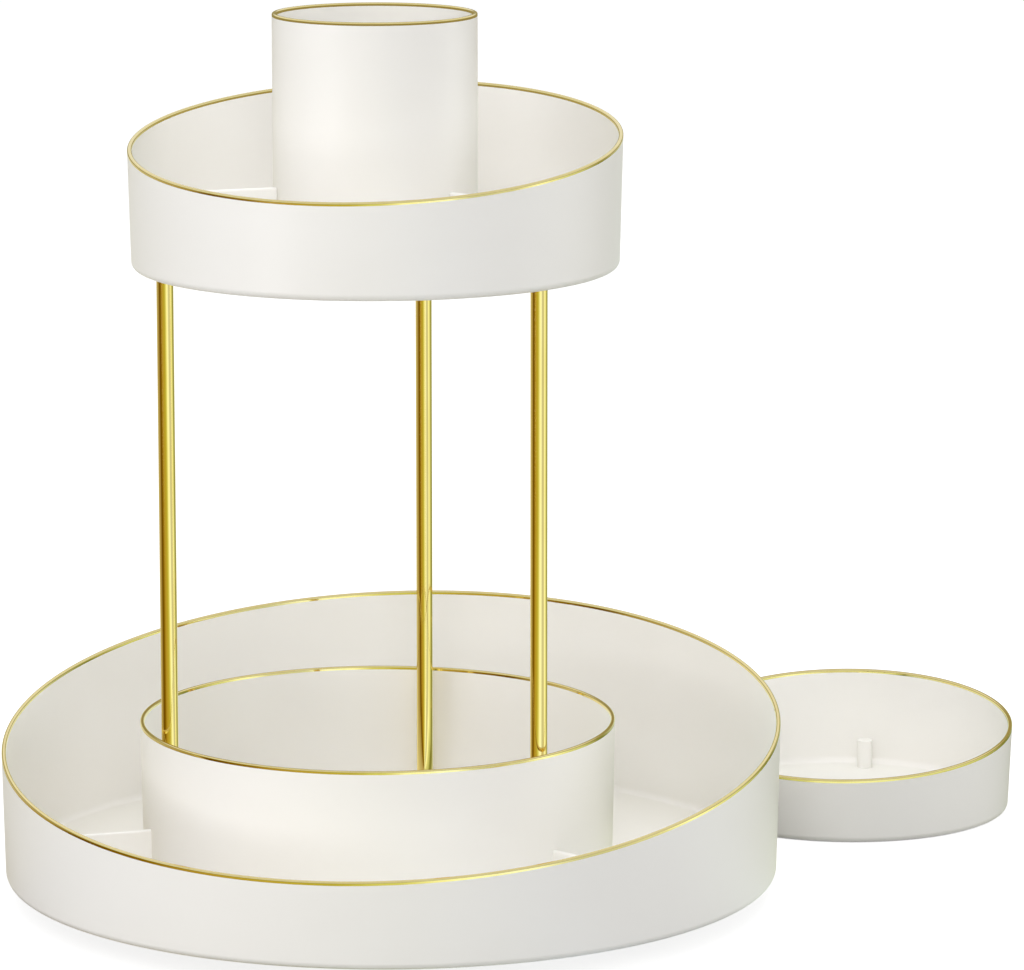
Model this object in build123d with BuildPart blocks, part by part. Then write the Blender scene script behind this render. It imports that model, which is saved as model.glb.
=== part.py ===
from build123d import *
import math
import os

os.makedirs("parts", exist_ok=True)

# A two-tier organizer that turns on a low ball-bearing foot, with a brush cup in the upper tray
# and one loose tray that stands beside it. Millimetres, +Z up. The origin is on the table, on the
# axis that the trays turn about, and +Y points to the high side of the slanted rims.

# ---------------------------------------------------------------------------------------------
# Driving dimensions
# ---------------------------------------------------------------------------------------------

# Clearances
running_fit = 0.05          # radial clearance of a turning journal, a rolling ball or a pushed-in rod
plate_fit = 0.1             # clearance round a plate that is pushed into a slot or between walls
lift_fit = 0.3              # clearance round a piece that lifts out by hand
cage_fit = 0.15             # radial clearance of a ball in its cage pocket

# Foot that stands on the table
foot_thickness = 3.0
foot_lip_height = 2.6       # dust lip round the foot, above its plate
foot_lip_width = 3.0
foot_lip_gap = 3.0          # between the lip and the rotor plate
foot_edge = 1.0
pad_radius = 7.0
pad_thickness = 2.0
pad_proud = 1.0             # how far each pad stands out of the foot, down to the table
pad_inset = 12.0            # from the edge of the foot to the middle of a pad
pad_count = 6
pad_edge = 0.4

# Ball race between the foot and the rotor
ball_radius = 2.0
ball_count = 18
ball_circle_radius = 58.0
race_gap = 2.0              # height between the foot plate and the rotor plate
cage_thickness = 1.2
cage_width = 11.0

# Rotor plate and centre pivot
rotor_margin = 7.1          # from the circle of the posts to the edge of the rotor plate
rotor_thickness = 2.5
rotor_edge = 0.6
journal_radius = 8.0
hub_radius = 14.0
hub_gap = 0.4               # height left between the foot's hub and the rotor
hub_shelf = 2.2             # thickness of the hub above the screw's recess
washer_radius = 12.0
washer_thickness = 0.8
pivot_head_radius = 4.0
pivot_head_height = 1.2
pivot_shank_radius = 1.9
pivot_shank_length = 4.2
pivot_tap_spare = 0.3       # depth of the tapped hole past the screw's end
cover_radius = 15.0
cover_skirt_width = 1.6
cover_floor = 1.1
cover_skirt_height = 2.3
hex_across = 2.5            # hexagon socket of every screw, across its corners' radius times 2
hex_depth = 0.8

# Pockets that core out the foot and the rotor between their hub and their race
pocket_hub_gap = 6.0
pocket_race_gap = 8.0
pocket_count = 6
pocket_rib = 5.0
pocket_depth = 1.1

# Walls and floors that all the moulded trays share
wall = 1.6
floor = 2.0
foot_round = 2.5            # radius round the outside foot of a tray
inner_round = 2.4           # radius between a tray's floor and its wall

# Bottom tray
bottom_radius = 138.4       # outside, at its underside
bottom_draft = 1.2          # degrees
bottom_rim = 51.4           # height of the rim above the underside, over the axis
bottom_slope = 0.155        # rise of the rim for each millimetre towards +Y

# Core: the ring, the posts, the upper tray and the cup share one axis, beside the turning axis
core_x = -4.9

# Ring that makes the well in the middle of the bottom tray
ring_radius = 84.2
ring_draft = 1.0
ring_height = 53.1          # above the tray's floor
ring_rib_width = 1.2        # rib on the tray's floor that the ring is pushed over
ring_rib_height = 3.0

# Posts and their sockets
post_radius = 3.0
post_ring_gap = 1.2         # between the socket of a post and the inside of the ring
post_angles = {"back": 90.0, "left": 210.0, "right": 330.0}
post_edge = 0.4
socket_wall = 1.4
lower_socket_height = 12.0
upper_boss_height = 12.0    # above the upper tray's floor
upper_boss_top = 1.6        # plastic left above the end of the rod
screw_radius = 1.9
screw_depth = 9.0           # how far the screw reaches into the rod
screw_tap_spare = 2.0       # depth of the tapped hole past the screw's end
screw_head_radius = 3.6
screw_head_height = 1.7
screw_hole_fit = 0.3

# Upper tray
upper_height = 219.1        # its underside above the underside of the bottom tray
upper_wall_gap = 3.2        # between the boss of a post and the tray's wall
upper_draft = 1.4
upper_rim = 44.5
upper_slope = 0.130

# Brush cup
cup_radius = 36.1
cup_height = 87.7           # above the floor of the upper tray
cup_recess = 2.0            # hollow foot of the cup, over the locating disc
cup_disc_gap = 0.2          # height left between the disc and the cup's floor

# Divider plates
divider_thickness = 2.0
divider_round = 0.8
divider_tab_depth = 0.8
divider_tab_inset = 5.0     # distance of a tab from the ends of its plate
bottom_divider_top = 20.8   # above the underside of the bottom tray
upper_divider_top = 29.4    # above the underside of the upper tray

# Channel trims that cap every rim
trim_crown = 0.9            # above the edge of the wall
trim_leg = 0.8              # below the edge of the wall
trim_proud = 0.4            # outside and inside the faces of the wall
trim_round = 0.75
trim_flat = 0.1             # flat that the rounding leaves on top of the crown
cup_tongue_inset = 0.4      # the cup's wall is thinned here, so that its trim lies flush

# Loose tray, which stands on the table beside the organizer
loose_radius = 62.2
loose_draft = 2.4
loose_rim = 31.1
loose_slope = 0.117
loose_gap = 11.0            # from rim to rim
loose_bearing = 49.2        # degrees from +X, seen from the turning axis
peg_radius = 2.95
peg_inset = 8.7             # from the foot of the loose tray's wall to the middle of a peg
peg_height = 11.0
peg_edge = 0.4

# Modelling
cut_margin = 1.0            # how far a cutting body reaches past what it cuts
same_size = 0.01            # sizes and heights closer than this are taken as the same one

# ---------------------------------------------------------------------------------------------
# Heights, radii and places that follow from them
# ---------------------------------------------------------------------------------------------

foot_bottom = pad_proud
foot_top = foot_bottom + foot_thickness
rotor_bottom = foot_top + race_gap
tray_bottom = rotor_bottom + rotor_thickness
tray_floor = tray_bottom + floor
ball_z = (foot_top + rotor_bottom) / 2
hub_top = rotor_bottom - hub_gap
cover_recess_top = hub_top - hub_shelf

ring_top = tray_floor + ring_height
ring_inside = ring_radius - wall
upper_bottom = tray_bottom + upper_height
upper_floor = upper_bottom + floor
post_top = upper_floor + upper_boss_height - upper_boss_top

socket_radius = post_radius + socket_wall
post_circle_radius = ring_inside - post_ring_gap - socket_radius
upper_radius = post_circle_radius + socket_radius + upper_wall_gap + wall
rotor_radius = post_circle_radius + abs(core_x) + rotor_margin
foot_radius = rotor_radius + foot_lip_gap + foot_lip_width
pad_circle_radius = foot_radius - pad_inset
peg_circle_radius = loose_radius - peg_inset

cup_top = upper_floor + cup_height
cup_disc_radius = cup_radius - wall - lift_fit
cup_disc_height = cup_recess - cup_disc_gap

core = (core_x, 0.0)
middle = (0.0, 0.0)


def lean(draft):
    """Growth of a drafted wall's radius for each millimetre of height."""
    return math.tan(math.radians(draft))


def rim_radius(base_radius, draft, rim, slope):
    """Outside radius of a tray at the highest point of its rim."""
    return base_radius + lean(draft) * (rim + slope * base_radius)


loose_reach = (
    rim_radius(bottom_radius, bottom_draft, bottom_rim, bottom_slope)
    + rim_radius(loose_radius, loose_draft, loose_rim, loose_slope)
    + 2 * trim_proud
    + loose_gap
)
loose = (
    loose_reach * math.cos(math.radians(loose_bearing)),
    loose_reach * math.sin(math.radians(loose_bearing)),
)


# ---------------------------------------------------------------------------------------------
# Helpers
# ---------------------------------------------------------------------------------------------


def upright(centre):
    """Vertical plane through a vertical axis: its x points right and its y points up."""
    return Plane(origin=(*centre, 0), x_dir=(1, 0, 0), z_dir=(0, -1, 0))


def vertical(centre):
    """Vertical axis over a point of the table."""
    return Axis((*centre, 0), (0, 0, 1))


def radial_plane(centre, angle, height):
    """Level plane whose x points away from the centre at this angle."""
    turn = math.radians(angle)
    return Plane(origin=(*centre, height), x_dir=(math.cos(turn), math.sin(turn), 0), z_dir=(0, 0, 1))


def rim_plane(centre, height, slope):
    """Plane that cuts a rim, rising towards +Y."""
    return Plane(origin=(*centre, height), x_dir=(1, 0, 0), z_dir=(0, -slope, 1))


def on_circle(centre, radius, angle):
    """Point of a circle round a centre."""
    turn = math.radians(angle)
    return (centre[0] + radius * math.cos(turn), centre[1] + radius * math.sin(turn))


def save(piece, name):
    """Label a finished piece and write it."""
    piece.part.label = name
    export_step(piece.part, f"parts/{name}.step")


def wall_blank(centre, base_z, base_radius, draft, low, high, outer=0.0, inner=0.0):
    """A drafted wall from low to high, its faces moved out by outer and in by inner."""
    grow = lean(draft)
    outside_low = base_radius + grow * (low - base_z) + outer
    outside_high = base_radius + grow * (high - base_z) + outer
    thickness = wall + outer + inner
    with BuildPart() as blank:
        with BuildSketch(upright(centre)):
            with BuildLine():
                Polyline(
                    (outside_low - thickness, low),
                    (outside_low, low),
                    (outside_high, high),
                    (outside_high - thickness, high),
                    close=True,
                )
            make_face()
        revolve(axis=vertical(centre))
    return blank


def tray_shell(centre, base_z, base_radius, draft, rim, slope):
    """A round tray: floor, drafted wall, rounded foot, and a rim cut off by a slanted plane."""
    top = base_z + rim + 2 * slope * base_radius
    grow = lean(draft)
    outside_top = base_radius + grow * (top - base_z)
    inside_low = base_radius + grow * floor - wall
    with BuildPart() as shell:
        with BuildSketch(upright(centre)):
            with BuildLine():
                Polyline(
                    (0, base_z),
                    (base_radius, base_z),
                    (outside_top, top),
                    (outside_top - wall, top),
                    (inside_low, base_z + floor),
                    (0, base_z + floor),
                    close=True,
                )
            make_face()
            fillet(vertices().group_by(Axis.Y)[0].sort_by(Axis.X)[-1], radius=foot_round)
            inner_corner = vertices().filter_by(
                lambda corner: abs(corner.Y - base_z - floor) < same_size and corner.X > same_size
            )
            fillet(inner_corner, radius=inner_round)
        revolve(axis=vertical(centre))
        split(bisect_by=rim_plane(centre, base_z + rim, slope), keep=Keep.BOTTOM)
    return shell


def rim_trim(centre, base_z, base_radius, draft, rim, slope, proud=trim_proud, inset=0.0):
    """A channel that caps the edge of a wall: rounded crown above, two legs beside the wall."""
    edge = rim_plane(centre, base_z + rim, slope)
    reach = slope * base_radius + trim_crown + trim_leg + cut_margin
    low = base_z + rim - reach
    high = base_z + rim + reach
    half_flat = (wall + 2 * proud - trim_flat) / 2
    shape = (centre, base_z, base_radius, draft, low, high)
    body = wall_blank(*shape, outer=proud, inner=proud)
    tongue = wall_blank(*shape, outer=running_fit - inset, inner=running_fit - inset)
    with BuildPart() as groove:
        add(tongue.part)
        split(bisect_by=edge, keep=Keep.BOTTOM)
    with BuildPart() as trim:
        add(body.part)
        split(bisect_by=edge.offset(trim_crown), keep=Keep.BOTTOM)
        split(bisect_by=edge.offset(-trim_leg), keep=Keep.TOP)
        upwards = Axis(edge.origin, edge.z_dir)
        crown = trim.faces().filter_by(edge).sort_by(upwards)[-1]
        fillet(crown.edges(), radius=min(trim_round, half_flat))
        add(groove.part, mode=Mode.SUBTRACT)
    return trim


def cavity(centre, base_z, base_radius, draft, high, gap):
    """The room inside a tray, kept a gap away from its wall and open below its floor."""
    grow = lean(draft)
    inside_floor = base_radius + grow * floor - wall - gap
    inside_high = base_radius + grow * (high - base_z) - wall - gap
    with BuildPart() as room:
        with BuildSketch(upright(centre)):
            with BuildLine():
                Polyline(
                    (0, base_z + floor),
                    (inside_floor, base_z + floor),
                    (inside_high, high),
                    (0, high),
                    close=True,
                )
            make_face()
            corner = vertices().group_by(Axis.Y)[0].sort_by(Axis.X)[-1]
            fillet(corner, radius=inner_round)
        revolve(axis=vertical(centre))
    return room


def cone(centre, low, high, low_radius, high_radius):
    """An upright cone between two heights."""
    with BuildPart() as body:
        with BuildSketch(upright(centre)):
            with BuildLine():
                Polyline((0, low), (low_radius, low), (high_radius, high), (0, high), close=True)
            make_face()
        revolve(axis=vertical(centre))
    return body


def divider_tab(angle, floor_z, near, far, gap=0.0):
    """The tab under a divider plate, or its slot when a gap is given."""
    with BuildPart() as tab:
        with BuildSketch(radial_plane(core, angle, floor_z)):
            with Locations(((near + far) / 2, 0)):
                Rectangle(far - near + 2 * gap, divider_thickness + 2 * gap)
        extrude(amount=-divider_tab_depth)
    return tab


def divider(angle, floor_z, top_z, room, keep_out, near, far, tab_near, tab_far):
    """A thin upright plate that reaches from the core to a tray's wall, with a tab in the floor."""
    tab = divider_tab(angle, floor_z, tab_near, tab_far)
    with BuildPart() as plate:
        with BuildSketch(radial_plane(core, angle, floor_z)):
            with Locations(((near + far) / 2, 0)):
                Rectangle(far - near, divider_thickness)
        extrude(amount=top_z - floor_z)
        long_edges = plate.edges().group_by(Axis.Z)[-1].sort_by(SortBy.LENGTH)[-2:]
        fillet(long_edges, radius=divider_round)
        add(room.part, mode=Mode.INTERSECT)
        for solid in keep_out:
            add(solid.part, mode=Mode.SUBTRACT)
        add(tab.part)
    return plate


# ---------------------------------------------------------------------------------------------
# Foot, pads and ball race
# ---------------------------------------------------------------------------------------------

# Groove that the balls roll in, shared by the foot plate and the rotor plate
with BuildPart() as race:
    with BuildSketch(upright(middle)):
        with Locations((ball_circle_radius, ball_z)):
            Circle(ball_radius + running_fit)
    revolve(axis=Axis.Z)


def pocket_ring(plane):
    """Six sector pockets round the hub, with ribs left between them."""
    pocket_outer = ball_circle_radius - pocket_race_gap
    with BuildPart() as pockets:
        with BuildSketch(plane):
            Circle(pocket_outer)
            Circle(hub_radius + pocket_hub_gap, mode=Mode.SUBTRACT)
            with PolarLocations(0, pocket_count):
                with Locations((pocket_outer / 2, 0)):
                    Rectangle(pocket_outer, pocket_rib, mode=Mode.SUBTRACT)
        extrude(amount=pocket_depth)
    return pockets


foot_pockets = pocket_ring(Plane.XY.offset(foot_bottom))
with BuildPart() as foot_plate:
    with BuildSketch(upright(middle)):
        with BuildLine():
            Polyline(
                (0, foot_bottom),
                (foot_radius, foot_bottom),
                (foot_radius, foot_top + foot_lip_height),
                (foot_radius - foot_lip_width, foot_top + foot_lip_height),
                (foot_radius - foot_lip_width, foot_top),
                (hub_radius, foot_top),
                (hub_radius, hub_top),
                (0, hub_top),
                close=True,
            )
        make_face()
    revolve(axis=Axis.Z)
    fillet(foot_plate.edges().group_by(Axis.Z)[-1], radius=foot_edge)
    chamfer(foot_plate.edges().group_by(Axis.Z)[0], length=foot_edge / 2)
    with BuildSketch(Plane.XY.offset(foot_bottom)):
        Circle(cover_radius)
    extrude(amount=cover_recess_top - foot_bottom, mode=Mode.SUBTRACT)
    with BuildSketch(Plane.XY.offset(foot_bottom)):
        with PolarLocations(pad_circle_radius, pad_count):
            Circle(pad_radius + running_fit)
    extrude(amount=pad_thickness - pad_proud, mode=Mode.SUBTRACT)
    with Locations((0, 0, hub_top)):
        Hole(radius=journal_radius + running_fit)
    add(race.part, mode=Mode.SUBTRACT)
    add(foot_pockets.part, mode=Mode.SUBTRACT)
save(foot_plate, "foot_plate")

with BuildPart() as foot_pads:
    with BuildSketch():
        with PolarLocations(pad_circle_radius, pad_count):
            Circle(pad_radius)
    extrude(amount=pad_thickness)
    fillet(foot_pads.edges().group_by(Axis.Z)[0], radius=pad_edge)
save(foot_pads, "foot_pads")

# Soft cap that closes the screw recess and stands on the table with the pads
with BuildPart() as pivot_cover:
    with BuildSketch(upright(middle)):
        with BuildLine():
            Polyline(
                (0, 0),
                (cover_radius - running_fit, 0),
                (cover_radius - running_fit, cover_skirt_height),
                (cover_radius - cover_skirt_width, cover_skirt_height),
                (cover_radius - cover_skirt_width, cover_floor),
                (0, cover_floor),
                close=True,
            )
        make_face()
    revolve(axis=Axis.Z)
    fillet(pivot_cover.edges().group_by(Axis.Z)[0], radius=pad_edge)
save(pivot_cover, "pivot_cover")

with BuildPart(Plane.XY.offset(ball_z)) as bearing_balls:
    with PolarLocations(ball_circle_radius, ball_count):
        Sphere(ball_radius)
save(bearing_balls, "bearing_balls")

with BuildPart() as ball_cage:
    with BuildSketch(Plane.XY.offset(ball_z - cage_thickness / 2)):
        Circle(ball_circle_radius + cage_width / 2)
        Circle(ball_circle_radius - cage_width / 2, mode=Mode.SUBTRACT)
        with PolarLocations(ball_circle_radius, ball_count):
            Circle(ball_radius + cage_fit, mode=Mode.SUBTRACT)
    extrude(amount=cage_thickness)
save(ball_cage, "ball_cage")

# ---------------------------------------------------------------------------------------------
# Rotor plate, its pivot and the screws that clamp it to the tray and the posts
# ---------------------------------------------------------------------------------------------

post_places = {name: on_circle(core, post_circle_radius, angle) for name, angle in post_angles.items()}
journal_end = cover_recess_top - running_fit
pivot_tap_depth = pivot_shank_length - washer_thickness + pivot_tap_spare

rotor_pockets = pocket_ring(Plane.XY.offset(tray_bottom - pocket_depth))
with BuildPart() as rotor_plate:
    with BuildSketch(Plane.XY.offset(rotor_bottom)):
        Circle(rotor_radius)
    extrude(amount=rotor_thickness)
    chamfer(rotor_plate.edges().group_by(Axis.Z)[0], length=rotor_edge)
    with BuildSketch(Plane.XY.offset(rotor_bottom)):
        Circle(journal_radius)
    extrude(amount=journal_end - rotor_bottom)
    with Locations(Plane.XY.offset(journal_end).rotated((180, 0, 0))):
        Hole(radius=pivot_shank_radius + running_fit, depth=pivot_tap_depth)
    for place in post_places.values():
        with Locations(Plane((*place, rotor_bottom)).rotated((180, 0, 0))):
            CounterSinkHole(
                radius=screw_radius + screw_hole_fit,
                counter_sink_radius=screw_head_radius + screw_hole_fit,
                depth=rotor_thickness,
            )
    add(race.part, mode=Mode.SUBTRACT)
    add(rotor_pockets.part, mode=Mode.SUBTRACT)
save(rotor_plate, "rotor_plate")

with BuildPart() as pivot_washer:
    with BuildSketch(Plane.XY.offset(journal_end)):
        Circle(washer_radius)
        Circle(pivot_shank_radius + running_fit, mode=Mode.SUBTRACT)
    extrude(amount=-washer_thickness)
save(pivot_washer, "pivot_washer")

pivot_head_top = journal_end - washer_thickness
with BuildPart() as pivot_screw:
    with BuildSketch(Plane.XY.offset(pivot_head_top)):
        Circle(pivot_head_radius)
    extrude(amount=-pivot_head_height)
    fillet(pivot_screw.edges().group_by(Axis.Z)[0], radius=pivot_head_height / 3)
    with BuildSketch(Plane.XY.offset(pivot_head_top)):
        Circle(pivot_shank_radius)
    extrude(amount=pivot_shank_length)
    with BuildSketch(Plane.XY.offset(pivot_head_top - pivot_head_height)):
        RegularPolygon(radius=hex_across / 2, side_count=6)
    extrude(amount=hex_depth, mode=Mode.SUBTRACT)
save(pivot_screw, "pivot_screw")

with BuildPart() as post_screws:
    for place in post_places.values():
        with BuildSketch(upright(place)):
            with BuildLine():
                Polyline(
                    (0, rotor_bottom),
                    (screw_head_radius, rotor_bottom),
                    (screw_radius, rotor_bottom + screw_head_height),
                    (screw_radius, tray_floor + screw_depth),
                    (0, tray_floor + screw_depth),
                    close=True,
                )
            make_face()
        revolve(axis=vertical(place))
        with BuildSketch(Plane((*place, rotor_bottom))):
            RegularPolygon(radius=hex_across / 2, side_count=6)
        extrude(amount=hex_depth, mode=Mode.SUBTRACT)
save(post_screws, "post_screws")

# ---------------------------------------------------------------------------------------------
# Bottom tray with its ring and dividers
# ---------------------------------------------------------------------------------------------

bottom_shape = (middle, tray_bottom, bottom_radius, bottom_draft)
bottom_divider_z = tray_bottom + bottom_divider_top
bottom_tab_near = ring_radius + divider_tab_inset
bottom_tab_far = bottom_radius - wall - abs(core_x) - divider_tab_inset

with BuildPart() as bottom_tray:
    add(tray_shell(*bottom_shape, bottom_rim, bottom_slope).part)
    # Rib that locates the ring
    with BuildSketch(Plane.XY.offset(tray_floor)):
        with Locations(core):
            Circle(ring_inside - plate_fit)
            Circle(ring_inside - plate_fit - ring_rib_width, mode=Mode.SUBTRACT)
    extrude(amount=ring_rib_height)
    # Sockets of the posts, and the holes of their screws
    with BuildSketch(Plane.XY.offset(tray_floor)):
        with Locations(*post_places.values()):
            Circle(socket_radius)
    extrude(amount=lower_socket_height)
    with BuildSketch(Plane.XY.offset(tray_floor)):
        with Locations(*post_places.values()):
            Circle(post_radius + running_fit)
    extrude(amount=lower_socket_height, mode=Mode.SUBTRACT)
    with BuildSketch(Plane.XY.offset(tray_bottom)):
        with Locations(*post_places.values()):
            Circle(screw_radius + screw_hole_fit)
    extrude(amount=floor, mode=Mode.SUBTRACT)
    for angle in post_angles.values():
        slot = divider_tab(angle, tray_floor, bottom_tab_near, bottom_tab_far, plate_fit)
        add(slot.part, mode=Mode.SUBTRACT)
save(bottom_tray, "bottom_tray")

save(rim_trim(*bottom_shape, bottom_rim, bottom_slope), "bottom_rim_trim")

ring_shape = (core, tray_floor, ring_radius, ring_draft)
inner_ring = wall_blank(*ring_shape, tray_floor, ring_top)
save(inner_ring, "inner_ring")
save(rim_trim(*ring_shape, ring_height, 0.0), "inner_ring_trim")

bottom_room = cavity(*bottom_shape, bottom_divider_z + cut_margin, plate_fit)
ring_outline = cone(
    core,
    tray_floor,
    ring_top,
    ring_radius + plate_fit,
    ring_radius + plate_fit + lean(ring_draft) * ring_height,
)
for name, angle in post_angles.items():
    plate = divider(
        angle,
        tray_floor,
        bottom_divider_z,
        bottom_room,
        [ring_outline],
        ring_inside,
        bottom_radius + abs(core_x),
        bottom_tab_near,
        bottom_tab_far,
    )
    save(plate, f"bottom_divider_{name}")

# ---------------------------------------------------------------------------------------------
# Posts
# ---------------------------------------------------------------------------------------------

for name, place in post_places.items():
    with BuildPart() as post:
        with BuildSketch(Plane((*place, tray_floor))):
            Circle(post_radius)
        extrude(amount=post_top - tray_floor)
        chamfer(post.edges().filter_by(GeomType.CIRCLE), length=post_edge)
        with Locations(Plane((*place, tray_floor)).rotated((180, 0, 0))):
            Hole(radius=screw_radius + running_fit, depth=screw_depth + screw_tap_spare)
    save(post, f"post_{name}")

# ---------------------------------------------------------------------------------------------
# Upper tray with its dividers and the brush cup
# ---------------------------------------------------------------------------------------------

upper_shape = (core, upper_bottom, upper_radius, upper_draft)
upper_divider_z = upper_bottom + upper_divider_top
cup_inside = cup_radius - wall
cup_clear = cup_radius + lift_fit
upper_tab_near = cup_clear + divider_tab_inset
upper_tab_far = post_circle_radius - socket_radius - divider_tab_inset

with BuildPart() as upper_tray:
    add(tray_shell(*upper_shape, upper_rim, upper_slope).part)
    # Closed bosses that the ends of the posts are pushed into from below
    with BuildSketch(Plane.XY.offset(upper_floor)):
        with Locations(*post_places.values()):
            Circle(socket_radius)
    extrude(amount=upper_boss_height)
    with BuildSketch(Plane.XY.offset(upper_bottom)):
        with Locations(*post_places.values()):
            Circle(post_radius + running_fit)
    extrude(amount=post_top - upper_bottom, mode=Mode.SUBTRACT)
    # Disc that locates the brush cup
    with BuildSketch(Plane.XY.offset(upper_floor)):
        with Locations(core):
            Circle(cup_disc_radius)
    extrude(amount=cup_disc_height)
    for angle in post_angles.values():
        slot = divider_tab(angle, upper_floor, upper_tab_near, upper_tab_far, plate_fit)
        add(slot.part, mode=Mode.SUBTRACT)
save(upper_tray, "upper_tray")

save(rim_trim(*upper_shape, upper_rim, upper_slope), "upper_rim_trim")

upper_room = cavity(*upper_shape, upper_divider_z + cut_margin, plate_fit)
cup_outline = cone(core, upper_floor, cup_top, cup_clear, cup_clear)
boss_top = upper_floor + upper_boss_height + plate_fit
for name, angle in post_angles.items():
    boss_outline = cone(
        post_places[name], upper_floor, boss_top, socket_radius + plate_fit, socket_radius + plate_fit
    )
    plate = divider(
        angle,
        upper_floor,
        upper_divider_z,
        upper_room,
        [cup_outline, boss_outline],
        cup_inside,
        upper_radius + cut_margin,
        upper_tab_near,
        upper_tab_far,
    )
    save(plate, f"upper_divider_{name}")

cup_floor_low = upper_floor + cup_recess
cup_edge = cup_top - trim_crown
with BuildPart() as brush_cup:
    with BuildSketch(upright(core)):
        with BuildLine():
            Polyline(
                (0, cup_floor_low),
                (cup_inside, cup_floor_low),
                (cup_inside, upper_floor),
                (cup_radius, upper_floor),
                (cup_radius, cup_edge - trim_leg),
                (cup_radius - cup_tongue_inset, cup_edge - trim_leg),
                (cup_radius - cup_tongue_inset, cup_edge),
                (cup_inside + cup_tongue_inset, cup_edge),
                (cup_inside + cup_tongue_inset, cup_edge - trim_leg),
                (cup_inside, cup_edge - trim_leg),
                (cup_inside, cup_floor_low + floor),
                (0, cup_floor_low + floor),
                close=True,
            )
        make_face()
    revolve(axis=vertical(core))
    fillet(
        brush_cup.edges().filter_by(GeomType.CIRCLE).group_by(Axis.Z)[0].sort_by(SortBy.RADIUS)[-1],
        radius=wall / 4,
    )
save(brush_cup, "brush_cup")

cup_trim_shape = (core, upper_floor, cup_radius, 0.0)
save(
    rim_trim(*cup_trim_shape, cup_edge - upper_floor, 0.0, proud=0.0, inset=cup_tongue_inset),
    "brush_cup_trim",
)

# ---------------------------------------------------------------------------------------------
# Loose tray
# ---------------------------------------------------------------------------------------------

loose_shape = (loose, 0.0, loose_radius, loose_draft)
with BuildPart() as loose_tray:
    add(tray_shell(*loose_shape, loose_rim, loose_slope).part)
    for angle in post_angles.values():
        with BuildSketch(Plane((*on_circle(loose, peg_circle_radius, angle), floor))):
            Circle(peg_radius)
        extrude(amount=peg_height)
    peg_tops = loose_tray.edges().filter_by(GeomType.CIRCLE).filter_by(
        lambda edge: abs(edge.center().Z - floor - peg_height) < same_size
        and abs(edge.radius - peg_radius) < same_size
    )
    fillet(peg_tops, radius=peg_edge)
save(loose_tray, "loose_tray")

save(rim_trim(*loose_shape, loose_rim, loose_slope), "loose_rim_trim")
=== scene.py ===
import math

import bmesh
import bpy
from bpy.props import FloatProperty, FloatVectorProperty, IntProperty, PointerProperty
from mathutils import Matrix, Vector


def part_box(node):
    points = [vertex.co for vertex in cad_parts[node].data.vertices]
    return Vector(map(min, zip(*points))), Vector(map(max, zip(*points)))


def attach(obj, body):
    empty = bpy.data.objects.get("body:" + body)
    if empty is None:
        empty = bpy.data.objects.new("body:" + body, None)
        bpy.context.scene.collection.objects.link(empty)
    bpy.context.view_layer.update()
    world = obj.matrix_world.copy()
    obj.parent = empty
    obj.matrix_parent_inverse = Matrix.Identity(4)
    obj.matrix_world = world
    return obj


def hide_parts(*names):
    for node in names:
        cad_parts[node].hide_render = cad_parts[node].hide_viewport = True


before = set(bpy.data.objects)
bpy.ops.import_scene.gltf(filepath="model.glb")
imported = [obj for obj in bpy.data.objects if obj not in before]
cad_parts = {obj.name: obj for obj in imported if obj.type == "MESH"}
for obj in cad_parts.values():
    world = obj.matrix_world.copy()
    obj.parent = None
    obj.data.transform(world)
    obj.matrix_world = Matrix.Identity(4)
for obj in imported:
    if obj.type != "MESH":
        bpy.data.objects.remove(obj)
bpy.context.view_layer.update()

bl_info = {
    "name": "Two-tier tray organizer",
    "version": (1, 0, 0),
    "blender": (4, 5, 0),
    "location": "3D View > Sidebar > Organizer",
    "description": "Models a turning two-tier tray organizer and its studio",
    "category": "Object",
}

# ---------------------------------------------------------------------------------------------
# Where the frame says that the pieces are
# ---------------------------------------------------------------------------------------------


def lowest(node):
    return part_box(node)[0]


def highest(node):
    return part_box(node)[1]


def box_middle(node):
    low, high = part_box(node)
    return (low + high) / 2


def foot_middle(node):
    """Middle of the flat underside of a round piece, whose rim may lean."""
    low = lowest(node).z
    corners = [vertex.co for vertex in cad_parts[node].data.vertices]
    foot = [corner for corner in corners if corner.z < low + SAME_PLACE]
    return tuple((min(corner[axis] for corner in foot) + max(corner[axis] for corner in foot)) / 2
                 for axis in (0, 1))


# Places closer than this count as the same
SAME_PLACE = 2e-5

# Axes of the core and of the loose tray, and the heights where the pieces meet
CORE = (box_middle("inner_ring").x, 0.0)
LOOSE = foot_middle("loose_tray")
TABLE = 0.0
TRAY_BOTTOM = lowest("bottom_tray").z
TRAY_FLOOR = lowest("inner_ring").z
UPPER_BOTTOM = lowest("upper_tray").z
UPPER_FLOOR = lowest("brush_cup").z
POST_TOP = highest("post_back").z
POST_ANGLES = {"back": 90.0, "left": 210.0, "right": 330.0}

# Facets round each piece. Those of the bottom tray are one of its settings.
UPPER_FACETS = 224
RING_FACETS = 224
LOOSE_FACETS = 192
CUP_FACETS = 160
RIB_FACETS = 160
DISC_FACETS = 128
POST_FACETS = 64
SOCKET_FACETS = 48
PEG_FACETS = 40

# A direction is the one asked for above the first cosine, and crosses it below the second
ALONG = 0.9
ACROSS = 0.5

# Least angle between two faces for their edge to be a corner, and for it to stay sharp
CORNER = 0.5
SHARP = math.radians(40)

# ---------------------------------------------------------------------------------------------
# Sizes and colours that a user may change
# ---------------------------------------------------------------------------------------------


def length(name, description, default):
    return FloatProperty(name=name, description=description, default=default, min=0.0,
                         unit="LENGTH", subtype="DISTANCE", precision=5)


def degrees(name, description, default):
    return FloatProperty(name=name, description=description, default=math.radians(default),
                         unit="ROTATION", subtype="ANGLE")


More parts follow.
